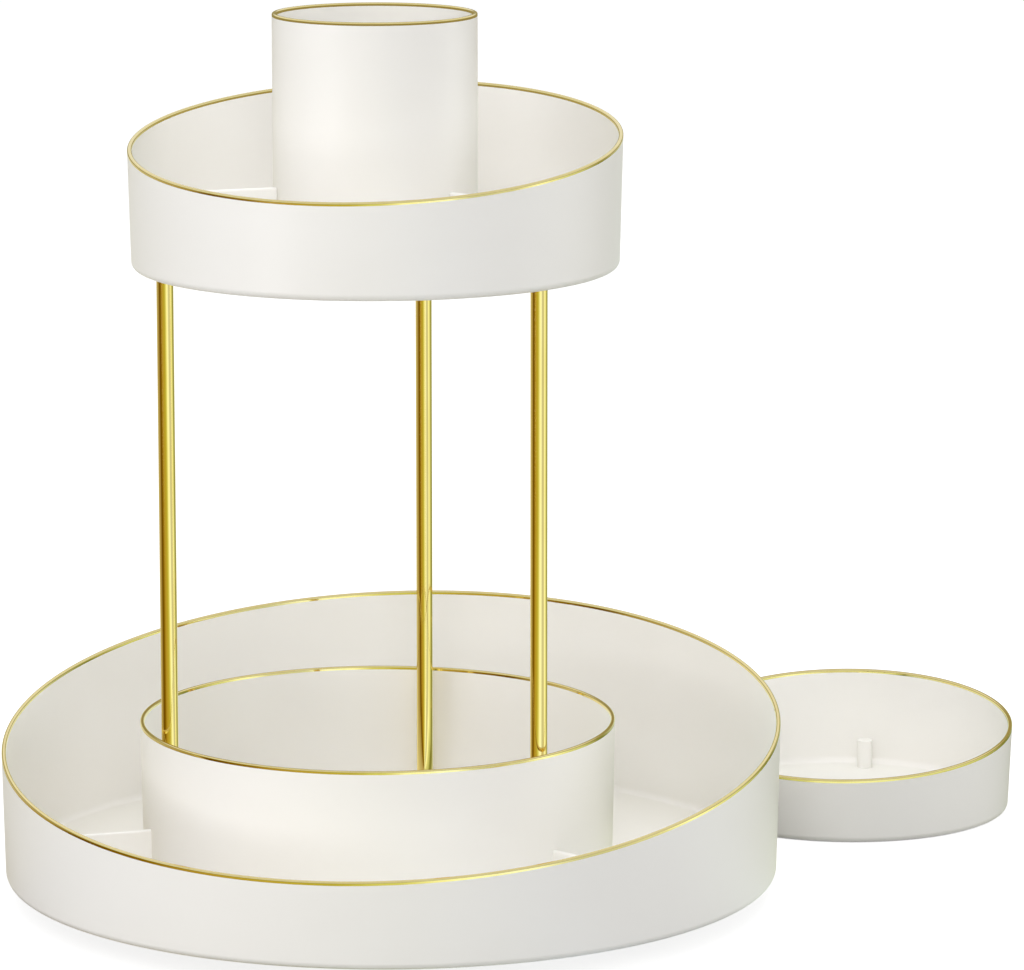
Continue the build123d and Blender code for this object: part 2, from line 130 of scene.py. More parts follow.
def slope(description, default):
    return FloatProperty(name="Rim slope", description=description, default=default)


def colour(name, description, default):
    return FloatVectorProperty(name=name, description=description, size=3, default=default,
                               min=0.0, max=1.0, subtype="COLOR")


def lamp_power(name, lamp, default):
    return FloatProperty(name=name, description=f"Power of the {lamp}", default=default,
                         unit="POWER")


class SharedSizes(bpy.types.PropertyGroup):
    """Sizes that all the moulded pieces share"""

    wall: length("Wall", "Thickness of every wall", 0.0016)
    floor: length("Floor", "Thickness of every floor", 0.002)
    foot_round: length("Foot round", "Rounding round the outside foot of a tray", 0.0025)
    inner_round: length("Inner round", "Rounding between a floor and its wall", 0.0024)
    sink: length("Sink", "How far a joined detail goes into what carries it", 0.0003)
    edge: length("Edge", "Rounding of a moulded edge", 0.0004)
    cover: length("Cover", "How far the floor of a joined detail lies over the tray's", 0.00005)
    facets: IntProperty(name="Facets", description="Facets round a large tray", default=256,
                        min=48, max=512)


class BottomTraySizes(bpy.types.PropertyGroup):
    """Sizes of the bottom tray"""

    radius: length("Radius", "Outside radius at its underside", 0.1384)
    draft: degrees("Draft", "Lean of the wall", 1.2)
    rim: length("Rim", "Height of the rim over the axis", 0.0514)
    slope: slope("Rise of the rim towards the back", 0.155)
    divider_top: length("Divider top", "Top of the dividers above the underside", 0.0208)
    socket_height: length("Socket height", "Height of the post sockets", 0.012)


class UpperTraySizes(bpy.types.PropertyGroup):
    """Sizes of the upper tray"""

    radius: length("Radius", "Outside radius at its underside", 0.0862)
    draft: degrees("Draft", "Lean of the wall", 1.4)
    rim: length("Rim", "Height of the rim over the axis", 0.0445)
    slope: slope("Rise of the rim towards the back", 0.130)
    divider_top: length("Divider top", "Top of the dividers above the underside", 0.0294)
    boss_height: length("Boss height", "Height of the closed bosses of the posts", 0.012)
    boss_round: length("Boss round", "Rounding of those bosses", 0.0008)


class LooseTraySizes(bpy.types.PropertyGroup):
    """Sizes of the loose tray"""

    radius: length("Radius", "Outside radius at its underside", 0.0622)
    draft: degrees("Draft", "Lean of the wall", 2.4)
    rim: length("Rim", "Height of the rim over its middle", 0.0311)
    slope: slope("Rise of the rim towards the back", 0.117)
    peg_radius: length("Peg radius", "Radius of a peg", 0.00295)
    peg_circle: length("Peg circle", "Radius of the circle that the pegs stand on", 0.0535)
    peg_height: length("Peg height", "Height of a peg above the floor", 0.011)


class RingSizes(bpy.types.PropertyGroup):
    """Sizes of the ring in the bottom tray"""

    radius: length("Radius", "Outside radius at its foot", 0.0842)
    draft: degrees("Draft", "Lean of the wall", 1.0)
    height: length("Height", "Height above the floor of the tray", 0.0531)
    rib_height: length("Rib height", "Height of the rib that locates it", 0.003)
    rib_width: length("Rib width", "Width of the rib that locates it", 0.0012)
    rib_gap: length("Rib gap", "Clearance of the rib in the ring", 0.0001)


class CupSizes(bpy.types.PropertyGroup):
    """Sizes of the brush cup"""

    radius: length("Radius", "Outside radius", 0.0361)
    height: length("Height", "Height above the floor of the upper tray", 0.0877)
    recess: length("Foot recess", "Hollow foot over the locating disc", 0.002)
    lift_gap: length("Lift gap", "Clearance of the disc in the hollow foot", 0.0003)
    disc_gap: length("Disc gap", "Height left free over the disc", 0.0002)
    floor_round: length("Floor round", "Rounding between the floor and the wall", 0.0012)


class RimSizes(bpy.types.PropertyGroup):
    """Sizes of the gold rims"""

    crown: length("Crown", "Height above the edge of the wall", 0.0007)
    leg: length("Leg", "Depth below the edge of the wall", 0.0005)
    rounding: length("Rounding", "Rounding of the crown", 0.0006)


class PostSizes(bpy.types.PropertyGroup):
    """Sizes of the posts and their sockets"""

    radius: length("Radius", "Radius of a post", 0.003)
    socket_radius: length("Socket radius", "Outside radius of a socket", 0.0044)
    socket_gap: length("Socket gap", "Clearance of a post in its socket", 0.00005)
    circle: length("Circle", "Radius of the circle that the posts stand on", 0.077)
    thickness: length("Divider thickness", "Thickness of a divider", 0.002)
    rounding: length("Divider rounding", "Rounding of a divider's top", 0.0008)


class OrganizerColours(bpy.types.PropertyGroup):
    """Colours of the finishes"""

    shell: colour("Shell", "Cream white gloss plastic", (0.93, 0.915, 0.888))
    shell_shade: colour("Shell flow", "Faint flow marks in the plastic", (0.919, 0.902, 0.873))
    gold: colour("Gold", "Polished gold plating", (0.93, 0.75, 0.33))
    gold_shade: colour("Gold shade", "Drawn marks in the plating", (0.90, 0.70, 0.27))
    rim_gold: colour("Rim gold", "Paler gold plating of the rims", (0.93, 0.80, 0.41))
    rim_shade: colour("Rim shade", "Brushed marks in that plating", (0.89, 0.75, 0.36))
    foot: colour("Foot", "Matt plastic of the foot", (0.85, 0.84, 0.81))
    rubber: colour("Rubber", "Rubber of the pads", (0.12, 0.12, 0.12))
    steel: colour("Steel", "Zinc-plated steel", (0.62, 0.62, 0.63))
    cage: colour("Cage", "Natural nylon of the ball cage", (0.78, 0.78, 0.74))


class StudioSettings(bpy.types.PropertyGroup):
    """Camera and light of the studio"""

    camera_place: FloatVectorProperty(name="Camera place", description="Where the camera stands",
                                      size=3, default=(0.438777, -1.900455, 0.512571),
                                      unit="LENGTH", subtype="XYZ", precision=5)
    camera_turn: FloatVectorProperty(name="Camera turn", description="How the camera is turned",
                                     size=3, default=(math.radians(79.436), 0.0,
                                                      math.radians(11.727)),
                                     unit="ROTATION", subtype="EULER")
    lens: FloatProperty(name="Lens", description="Focal length in millimetres", default=195.98)
    # The card in the bottom tray is a painted reflection that the posts mirror near their feet
    tray_card_radius: length("Tray card", "Radius of the mirrored card in the bottom tray", 0.136)
    sky: FloatProperty(name="Sky", description="Level of the light from all around",
                       default=0.45, min=0.0, max=2.0, subtype="FACTOR")
    key_power: lamp_power("Key", "low lamp on the left", 7.4)
    wash_power: lamp_power("Wash", "small lamp near the floor", 1.1)
    high_power: lamp_power("High", "high lamp on the left", 3.2)
    fill_power: lamp_power("Fill", "low lamp on the right", 9.0)
    front_power: lamp_power("Front", "lamp over the camera", 9.5)
    back_power: lamp_power("Back", "lamp behind the object", 7.0)
    top_power: lamp_power("Top", "lamp over the object", 22.5)


# ---------------------------------------------------------------------------------------------
# Modelling
# ---------------------------------------------------------------------------------------------


def object_mode():
    if bpy.context.object is not None and bpy.context.object.mode != "OBJECT":
        bpy.ops.object.mode_set(mode="OBJECT")


def only(*pieces):
    """Make these the selected objects, the first one active."""
    object_mode()
    bpy.ops.object.select_all(action="DESELECT")
    for piece in pieces:
        piece.select_set(True)
    bpy.context.view_layer.objects.active = pieces[0]
    return pieces[0]


def settle():
    """Put the active object's place, turn and scale into its mesh."""
    object_mode()
    bpy.ops.object.transform_apply(location=True, rotation=True, scale=True)


def pick_faces(test):
    """In edit mode, select the faces that pass a test of their middle and normal."""
    bpy.ops.mesh.select_mode(type="FACE")
    bpy.ops.mesh.select_all(action="DESELECT")
    data = bpy.context.object.data
    mesh = bmesh.from_edit_mesh(data)
    for face in mesh.faces:
        if test(face.calc_center_median(), face.normal):
            face.select_set(True)
    bmesh.update_edit_mesh(data)


def pick_edges(test):
    """In edit mode, select the edges that pass a test of the edge."""
    bpy.ops.mesh.select_mode(type="EDGE")
    bpy.ops.mesh.select_all(action="DESELECT")
    data = bpy.context.object.data
    mesh = bmesh.from_edit_mesh(data)
    for edge in mesh.edges:
        if test(edge):
            edge.select_set(True)
    bmesh.update_edit_mesh(data)


def level(edge, height):
    """True for an edge that lies at this height."""
    return all(abs(corner.co.z - height) < SAME_PLACE for corner in edge.verts)


def reach(edge, centre):
    """Distance of an edge's middle from an upright axis."""
    middle = (edge.verts[0].co + edge.verts[1].co) / 2
    return math.hypot(middle.x - centre[0], middle.y - centre[1])


def disc(centre, low, high, radius, facets):
    """Add a closed upright cylinder at its size and place, and open it for editing."""
    object_mode()
    bpy.ops.object.select_all(action="DESELECT")
    bpy.ops.mesh.primitive_cylinder_add(
        vertices=facets, radius=radius, depth=high - low, end_fill_type="NGON",
        location=(centre[0], centre[1], (low + high) / 2))
    settle()
    bpy.ops.object.mode_set(mode="EDIT")
    return bpy.context.object


def end_face(height, upwards):
    """Select the flat end at a height that looks up or down."""
    turn = 1.0 if upwards else -1.0
    pick_faces(lambda middle, normal: (abs(middle.z - height) < SAME_PLACE
                                       and normal.z * turn > ALONG))


def spread(centre, height, factor):
    """Scale what is selected out from an upright axis."""
    bpy.ops.transform.resize(value=(factor, factor, 1.0),
                             center_override=(centre[0], centre[1], height))


def push(distance):
    """Extrude what is selected up or down."""
    bpy.ops.mesh.extrude_region_move(TRANSFORM_OT_translate={"value": (0.0, 0.0, distance)})


def round_edges(test, radius, steps):
    """Round the edges that pass a test."""
    pick_edges(test)
    bpy.ops.mesh.bevel(offset=radius, offset_type="OFFSET", segments=steps, profile=0.5,
                       affect="EDGES", clamp_overlap=False, loop_slide=False)


def in_plane(edge, point, normal):
    return all(abs((corner.co - point).dot(normal)) < SAME_PLACE for corner in edge.verts)


def cut(point, normal, keep_below):
    """Cut a wall with a plane, keep what lies below or above it and close the cut edge."""
    bpy.ops.mesh.select_all(action="SELECT")
    bpy.ops.mesh.bisect(plane_co=point, plane_no=normal, use_fill=False, threshold=1e-7,
                        clear_outer=keep_below, clear_inner=not keep_below)
    pick_edges(lambda edge: edge.is_boundary and in_plane(edge, point, normal))
    bpy.ops.mesh.bridge_edge_loops()


def on_circle(centre, radius, angle):
    turn = math.radians(angle)
    return (centre[0] + radius * math.cos(turn), centre[1] + radius * math.sin(turn))


def rim_plane(centre, height, rise):
    """A point of a slanted rim and the plane's upward normal."""
    return Vector((centre[0], centre[1], height)), Vector((0.0, -rise, 1.0)).normalized()


def polish(name):
    """Name the active piece, and give its flat faces and its roundings even shading."""
    object_mode()
    piece = bpy.context.object
    piece.name = name
    piece.data.name = name
    only(piece)
    bpy.ops.object.shade_smooth_by_angle(angle=SHARP)
    modifier = piece.modifiers.new("Even shading", "WEIGHTED_NORMAL")
    modifier.keep_sharp = True
    bpy.ops.object.modifier_apply(modifier=modifier.name)
    return piece


def tray_shell(centre, base, radius, draft, rim, rise, facets):
    """A round tray with a drafted wall, rounded inside and outside, cut off under its gold rim."""
    shared = bpy.context.scene.organizer_shared
    leg = bpy.context.scene.organizer_rims.leg
    top = base + rim + 2 * rise * radius
    floor = base + shared.floor
    outside_top = radius + math.tan(draft) * (top - base)
    inside_low = radius + math.tan(draft) * shared.floor - shared.wall
    shell = disc(centre, base, top, radius, facets)
    end_face(top, upwards=True)
    spread(centre, top, outside_top / radius)
    bpy.ops.mesh.inset(thickness=shared.wall)
    push(floor - top)
    spread(centre, floor, inside_low / (outside_top - shared.wall))
    round_edges(lambda edge: level(edge, base), shared.foot_round, 6)
    round_edges(lambda edge: level(edge, floor), shared.inner_round, 6)
    point, normal = rim_plane(centre, base + rim, rise)
    cut(point - normal * leg, normal, keep_below=True)
    object_mode()
    return shell


def bead(name, centre, base, radius, draft, rim, rise, facets):
    """A gold rim that caps the edge of a wall, flush with its faces and with a rounded crown."""
    sizes = bpy.context.scene.organizer_rims
    shared = bpy.context.scene.organizer_shared
    spare = 0.001
    span = rise * radius + sizes.crown + sizes.leg + spare
    low = base + rim - span
    high = base + rim + span
    radius_low = radius + math.tan(draft) * (low - base)
    radius_high = radius + math.tan(draft) * (high - base)
    disc(centre, low, high, radius_low, facets)
    end_face(high, upwards=True)
    spread(centre, high, radius_high / radius_low)
    bpy.ops.mesh.inset(thickness=shared.wall)
    push(low - high)
    spread(centre, low, (radius_low - shared.wall) / (radius_high - shared.wall))
    bpy.ops.mesh.delete(type="FACE")
    end_face(low, upwards=False)
    bpy.ops.mesh.delete(type="FACE")
    point, normal = rim_plane(centre, base + rim, rise)
    crown = point + normal * sizes.crown
    leg = point - normal * sizes.leg
    cut(crown, normal, keep_below=True)
    cut(leg, normal, keep_below=False)

    def on_crown(edge):
        along = (edge.verts[1].co - edge.verts[0].co).normalized()
        middle = (edge.verts[0].co + edge.verts[1].co) / 2 - Vector((*centre, 0.0))
        outward = Vector((middle.x, middle.y, 0.0)).normalized()
        return in_plane(edge, crown, normal) and abs(along.dot(outward)) < ACROSS

    round_edges(on_crown, sizes.rounding, 8)
    return polish(name)


def stub(centre, low, high, radius, facets, rounding, hole=0.0, depth=0.0):
    """A small round boss, with a rounded top and a blind hole where one is asked for."""
    disc(centre, low, high, radius, facets)
    if hole > 0.0:
        end_face(high, upwards=True)
        bpy.ops.mesh.inset(thickness=radius - hole)
        push(-depth)
    round_edges(lambda edge: level(edge, high) and reach(edge, centre) > radius * 0.98, rounding, 4)
    object_mode()
    return bpy.context.object


def wall_reach(offset, angle, radius):
    """Distance from a point beside a round wall's axis to the wall, at an angle."""
    turn = math.radians(angle)
    along = offset * math.cos(turn)
    return -along + math.sqrt(along * along + radius * radius - offset * offset)


def divider(name, angle, low, high, near, far, far_lean):
    """A thin upright plate from the core to a wall, its outer end leaning with the wall."""
    sizes = bpy.context.scene.organizer_posts
    object_mode()
    bpy.ops.object.select_all(action="DESELECT")
    middle = on_circle(CORE, (near + far) / 2, angle)
    turn = math.radians(angle)
    bpy.ops.mesh.primitive_cube_add(size=1.0, location=(*middle, (low + high) / 2),
                                    rotation=(0.0, 0.0, turn))
    bpy.context.object.scale = (far - near, sizes.thickness, high - low)
    settle()
    bpy.ops.object.mode_set(mode="EDIT")
    outward = Vector((math.cos(turn), math.sin(turn), 0.0))
    start = Vector((*CORE, 0.0))

    def outer_top(edge):
        return level(edge, high) and all((corner.co - start).dot(outward) > far - SAME_PLACE
                                         for corner in edge.verts)

    pick_edges(outer_top)
    bpy.ops.transform.translate(value=outward * far_lean)

    def long_top(edge):
        along = (edge.verts[1].co - edge.verts[0].co).normalized()
        return level(edge, high) and abs(along.dot(outward)) > ALONG

    round_edges(long_top, sizes.rounding, 5)
    return polish(name)


# ---------------------------------------------------------------------------------------------
# Finishes
# ---------------------------------------------------------------------------------------------


class Wire:
    """A socket that can be written into a formula."""

    def __init__(self, finish, socket):
        self.finish = finish
        self.socket = socket

    def __add__(self, other):
        return self.finish.number("ADD", self, other)

    def __radd__(self, other):
        return self.finish.number("ADD", other, self)

    def __sub__(self, other):
        return self.finish.number("SUBTRACT", self, other)

    def __rsub__(self, other):
        return self.finish.number("SUBTRACT", other, self)

    def __mul__(self, other):
        return self.finish.number("MULTIPLY", self, other)

    def __rmul__(self, other):
        return self.finish.number("MULTIPLY", other, self)

    def __truediv__(self, other):
        return self.finish.number("DIVIDE", self, other)

    def __rtruediv__(self, other):
        return self.finish.number("DIVIDE", other, self)


class Nodes:
    """A node tree that formulas are written into."""

    def __init__(self, tree):
        self.tree = tree
        tree.nodes.clear()

    def add(self, kind, settings=None, inputs=None, output=0):
        """Add a node: its settings first, then the values or links of its sockets."""
        node = self.tree.nodes.new(kind)
        for key, value in (settings or {}).items():
            if key == "stops":
                stops = node.color_ramp.elements
                stops.remove(stops[1])
                stops[0].position = value[0][0]
                for number, (position, shade) in enumerate(value):
                    stop = stops[0] if number == 0 else stops.new(position)
                    stop.color = (*shade, 1.0)
            elif key == "interpolation" and kind == "ShaderNodeValToRGB":
                node.color_ramp.interpolation = value
            else:
                setattr(node, key, value)
        for key, value in (inputs or {}).items():
            socket = node.inputs[key]
            if isinstance(value, Wire):
                self.tree.links.new(value.socket, socket)
            else:
                socket.default_value = value
        return Wire(self, node.outputs[output]) if node.outputs else node

    def number(self, operation, first, second):
        return self.add("ShaderNodeMath", {"operation": operation}, {0: first, 1: second})

    def mix(self, factor, first, second):
        """A colour between two colours."""
        def full(value):
            return value if isinstance(value, Wire) else (*tuple(value)[:3], 1.0)
        return self.add("ShaderNodeMix", {"data_type": "RGBA"},
                        {0: factor, 6: full(first), 7: full(second)}, output=2)

    def noise(self, place, scale, detail=2.0, roughness=0.5):
        return self.add("ShaderNodeTexNoise", None,
                        {"Vector": place, "Scale": scale, "Detail": detail,
                         "Roughness": roughness})

    def stretched(self, place, factors):
        """Places stretched along the axes."""
        return self.add("ShaderNodeVectorMath", {"operation": "MULTIPLY"}, {0: place, 1: factors})

    def stepped(self, value, low, high):
        """A value that runs from 0 to 1 between two limits."""
        return self.add("ShaderNodeMapRange", {"clamp": True, "interpolation_type": "SMOOTHSTEP"},
                        {"Value": value, "From Min": low, "From Max": high})

    def looked_at(self):
        """1 for rays from the camera, a mirror or glass, and 0 for rays that only light."""
        camera_ray = self.add("ShaderNodeLightPath")
        rays = camera_ray.socket.node.outputs
        seen = self.number("MAXIMUM", camera_ray, Wire(self, rays["Is Glossy Ray"]))
        return self.number("MAXIMUM", seen, Wire(self, rays["Is Transmission Ray"]))


class Finish(Nodes):
    """A material with one principled shader."""

    def __init__(self, name):
        self.material = bpy.data.materials.new(name)
        self.material.use_nodes = True
        super().__init__(self.material.node_tree)
        self.place = self.add("ShaderNodeTexCoord", output=3)

    def close(self, base, roughness, bump, strength, depth, **constants):
        """Connect what varies, set what doesn't on the shader itself, and return the material."""
        inputs = {"Base Color": base, "Roughness": roughness}
        for key, value in constants.items():
            inputs[key.replace("_", " ")] = value
        inputs["Normal"] = self.add("ShaderNodeBump", None,
                                    {"Strength": strength, "Distance": depth, "Height": bump})
        shader = self.add("ShaderNodeBsdfPrincipled", None, inputs)
        self.add("ShaderNodeOutputMaterial", None, {"Surface": shader})
        return self.material


def shell_finish():
    """Gloss plastic: faint flow marks, a slightly uneven gloss and a fine moulded skin."""
    colours = bpy.context.scene.organizer_colours
    finish = Finish("cream_gloss_plastic")
    flow = finish.noise(finish.stretched(finish.place, (1.0, 1.0, 2.2)), scale=14.0, detail=3.0,
                        roughness=0.45)
    cloud = finish.noise(finish.place, scale=95.0)
    skin = finish.noise(finish.place, scale=900.0)
    base = finish.mix(finish.stepped(flow, 0.35, 0.65), colours.shell_shade, colours.shell)
    roughness = 0.38 + cloud * 0.05 + flow * 0.04
    return finish.close(base, roughness, skin * 0.6 + cloud * 0.4, strength=0.06, depth=0.00004,
                        IOR=1.52, Coat_Weight=0.1, Coat_Roughness=0.1)


def gold_finish(name, lengthwise):
    """Gold plating: drawn along the posts, and brushed round the rims."""
    colours = bpy.context.scene.organizer_colours
    finish = Finish(name)
    if lengthwise:
        grain = finish.noise(finish.stretched(finish.place, (1.0, 1.0, 0.012)), scale=2600.0,
                             detail=3.0, roughness=0.6)
        wave = finish.noise(finish.stretched(finish.place, (1.0, 1.0, 0.25)), scale=160.0)
        light, dark = colours.gold, colours.gold_shade
    else:
        grain = finish.noise(finish.place, scale=1900.0, detail=3.0, roughness=0.6)
        wave = finish.noise(finish.place, scale=130.0)
        light, dark = colours.rim_gold, colours.rim_shade
    base = finish.mix(finish.stepped(grain * 0.5 + wave * 0.5, 0.35, 0.7), light, dark)
    roughness = 0.025 + grain * 0.04 + wave * 0.02
    return finish.close(base, roughness, grain * 0.6 + wave * 0.4, strength=0.04, depth=0.00001,
                        Metallic=1.0)


def plain_finish(name, base_colour, metallic, roughness, uneven, coarse, fine, relief):
    """A finish for the pieces of the foot, with two sizes of grain and an uneven gloss."""
    finish = Finish(name)
    cloud = finish.noise(finish.place, scale=coarse, detail=3.0)
    grain = finish.noise(finish.place, scale=fine)
    shade = tuple(channel * 0.86 for channel in base_colour)
    base = finish.mix(finish.stepped(cloud * 0.6 + grain * 0.4, 0.3, 0.7), shade, base_colour)
    gloss = (roughness - uneven / 2) + grain * uneven
    return finish.close(base, gloss, grain, strength=0.3, depth=relief, Metallic=metallic)


def dress(piece, material, body, slot, *nodes):
    """Give a finished piece its material and its body, and hide the nodes it stands for; only a
    piece whose slot is gold is seen in mirrors.

    The plastic isn't seen in mirrors, so the posts show the painted reflection cards down to their
    feet.
    """
    piece.visible_glossy = slot == "gold"
    piece.data.materials.clear()
    piece.data.materials.append(material)
    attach(piece, body)
    if nodes:
        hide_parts(*nodes)


def shared_material(name, maker, *details):
    """The material of this name, made the first time that it is asked for."""
    found = bpy.data.materials.get(name)
    return found if found is not None else maker(*details)


def shell_material():
    return shared_material("cream_gloss_plastic", shell_finish)


# ---------------------------------------------------------------------------------------------
# Operators
# ---------------------------------------------------------------------------------------------


def post_places():
    circle = bpy.context.scene.organizer_posts.circle
    return {name: on_circle(CORE, circle, angle) for name, angle in POST_ANGLES.items()}


def join(shell, details):
    """Join moulded details to their shell."""
    only(shell, *details)
    bpy.ops.object.join()
    return shell


class ORGANIZER_OT_bottom_tray(bpy.types.Operator):
    """Model the bottom tray with the sockets of its posts and the rib of its ring"""

    bl_idname = "organizer.bottom_tray"
    bl_label = "Bottom tray"

    def execute(self, context):
        sizes = context.scene.organizer_bottom
        ring = context.scene.organizer_ring
        posts = context.scene.organizer_posts
        shared = context.scene.organizer_shared
        shell = tray_shell((0.0, 0.0), TRAY_BOTTOM, sizes.radius, sizes.draft, sizes.rim,
                           sizes.slope, shared.facets)
        low = TRAY_FLOOR - shared.sink
        details = []
        for centre in post_places().values():
            details.append(stub(centre, low, TRAY_FLOOR + sizes.socket_height,
                                posts.socket_radius, SOCKET_FACETS, shared.edge,
                                hole=posts.radius + posts.socket_gap,
                                depth=sizes.socket_height - shared.cover))
        rib_radius = ring.radius - shared.wall - ring.rib_gap
        details.append(stub(CORE, low, TRAY_FLOOR + ring.rib_height, rib_radius, RIB_FACETS,
                            shared.edge, hole=rib_radius - ring.rib_width,
                            depth=ring.rib_height - shared.cover))
        join(shell, details)
        piece = polish("bottom_tray_shell")
        dress(piece, shell_material(), "carousel", "gloss_shell", "bottom_tray")
        return {"FINISHED"}


class ORGANIZER_OT_inner_ring(bpy.types.Operator):
    """Model the ring that makes the well of the bottom tray"""

    bl_idname = "organizer.inner_ring"
    bl_label = "Ring"

    def execute(self, context):
        sizes = context.scene.organizer_ring
        shared = context.scene.organizer_shared
        leg = context.scene.organizer_rims.leg
        top = TRAY_FLOOR + sizes.height - leg
        top_radius = sizes.radius + math.tan(sizes.draft) * (sizes.height - leg)
        disc(CORE, TRAY_FLOOR, top, sizes.radius, RING_FACETS)
        end_face(top, upwards=True)
        spread(CORE, top, top_radius / sizes.radius)
        bpy.ops.mesh.inset(thickness=shared.wall)
        push(TRAY_FLOOR - top)
        spread(CORE, TRAY_FLOOR, (sizes.radius - shared.wall) / (top_radius - shared.wall))
        bpy.ops.mesh.delete(type="FACE")
        end_face(TRAY_FLOOR, upwards=False)
        bpy.ops.mesh.delete(type="FACE")
        pick_edges(lambda edge: edge.is_boundary)
        bpy.ops.mesh.bridge_edge_loops()
        round_edges(lambda edge: level(edge, TRAY_FLOOR) and edge.calc_face_angle(0.0) > CORNER,
                    shared.edge / 2, 2)
        piece = polish("inner_ring_wall")
        dress(piece, shell_material(), "carousel", "gloss_shell", "inner_ring")
        return {"FINISHED"}


class ORGANIZER_OT_upper_tray(bpy.types.Operator):
    """Model the upper tray with the bosses of its posts and the disc under the cup"""

    bl_idname = "organizer.upper_tray"
    bl_label = "Upper tray"

    def execute(self, context):
        sizes = context.scene.organizer_upper
        posts = context.scene.organizer_posts
        cup = context.scene.organizer_cup
        shared = context.scene.organizer_shared
        shell = tray_shell(CORE, UPPER_BOTTOM, sizes.radius, sizes.draft, sizes.rim, sizes.slope,
                           UPPER_FACETS)
        low = UPPER_FLOOR - shared.sink
        details = [stub(centre, low, UPPER_FLOOR + sizes.boss_height, posts.socket_radius,
                        SOCKET_FACETS, sizes.boss_round)
                   for centre in post_places().values()]
        details.append(stub(CORE, low, UPPER_FLOOR + cup.recess - cup.disc_gap,
                            cup.radius - shared.wall - cup.lift_gap, DISC_FACETS, shared.edge))
        join(shell, details)
        piece = polish("upper_tray_shell")
        dress(piece, shell_material(), "carousel", "gloss_shell", "upper_tray")
        return {"FINISHED"}


class ORGANIZER_OT_brush_cup(bpy.types.Operator):
    """Model the brush cup with its hollow foot"""

    bl_idname = "organizer.brush_cup"
    bl_label = "Brush cup"

    def execute(self, context):
        sizes = context.scene.organizer_cup
        rims = context.scene.organizer_rims
        shared = context.scene.organizer_shared
        top = UPPER_FLOOR + sizes.height - rims.crown - rims.leg
        floor = UPPER_FLOOR + sizes.recess + shared.floor
        disc(CORE, UPPER_FLOOR, top, sizes.radius, CUP_FACETS)
        end_face(top, upwards=True)
        bpy.ops.mesh.inset(thickness=shared.wall)
        push(floor - top)
        end_face(UPPER_FLOOR, upwards=False)
        bpy.ops.mesh.inset(thickness=shared.wall)
        push(sizes.recess)
        round_edges(lambda edge: level(edge, floor), sizes.floor_round, 4)
        round_edges(lambda edge: level(edge, UPPER_FLOOR)
                    and reach(edge, CORE) > sizes.radius - shared.wall / 4, shared.edge, 3)
        piece = polish("brush_cup_shell")
        dress(piece, shell_material(), "cup", "gloss_shell", "brush_cup")
        return {"FINISHED"}


class ORGANIZER_OT_loose_tray(bpy.types.Operator):
    """Model the loose tray with its three pegs"""

    bl_idname = "organizer.loose_tray"
    bl_label = "Loose tray"

    def execute(self, context):
        sizes = context.scene.organizer_loose
        shared = context.scene.organizer_shared
        shell = tray_shell(LOOSE, TABLE, sizes.radius, sizes.draft, sizes.rim, sizes.slope,
                           LOOSE_FACETS)
        pegs = [stub(on_circle(LOOSE, sizes.peg_circle, angle), shared.floor - shared.sink,
                     shared.floor + sizes.peg_height, sizes.peg_radius, PEG_FACETS, shared.edge)
                for angle in POST_ANGLES.values()]
        join(shell, pegs)
        piece = polish("loose_tray_shell")
        dress(piece, shell_material(), "spare_tray", "gloss_shell", "loose_tray")
        return {"FINISHED"}


class ORGANIZER_OT_rims(bpy.types.Operator):
    """Model the five gold rims"""

    bl_idname = "organizer.rims"
    bl_label = "Gold rims"

    def execute(self, context):
        scene = context.scene
        bottom, upper, loose = scene.organizer_bottom, scene.organizer_upper, scene.organizer_loose
        ring, cup, rims = scene.organizer_ring, scene.organizer_cup, scene.organizer_rims
        gold = shared_material("polished_gold_rim", gold_finish, "polished_gold_rim", False)
        rows = [
            ("bottom_rim", (0.0, 0.0), TRAY_BOTTOM, bottom.radius, bottom.draft, bottom.rim,
             bottom.slope, scene.organizer_shared.facets, "carousel", "bottom_rim_trim"),
            ("upper_rim", CORE, UPPER_BOTTOM, upper.radius, upper.draft, upper.rim,
             upper.slope, UPPER_FACETS, "carousel", "upper_rim_trim"),
            ("loose_rim", LOOSE, TABLE, loose.radius, loose.draft, loose.rim,
             loose.slope, LOOSE_FACETS, "spare_tray", "loose_rim_trim"),
            ("ring_rim", CORE, TRAY_FLOOR, ring.radius, ring.draft, ring.height,
             0.0, RING_FACETS, "carousel", "inner_ring_trim"),
            ("cup_rim", CORE, UPPER_FLOOR, cup.radius, 0.0, cup.height - rims.crown,
             0.0, CUP_FACETS, "cup", "brush_cup_trim"),
        ]
        for name, centre, base, radius, draft, rim, rise, facets, body, node in rows:
            piece = bead(name, centre, base, radius, draft, rim, rise, facets)
            dress(piece, gold, body, "gold", node)
        return {"FINISHED"}


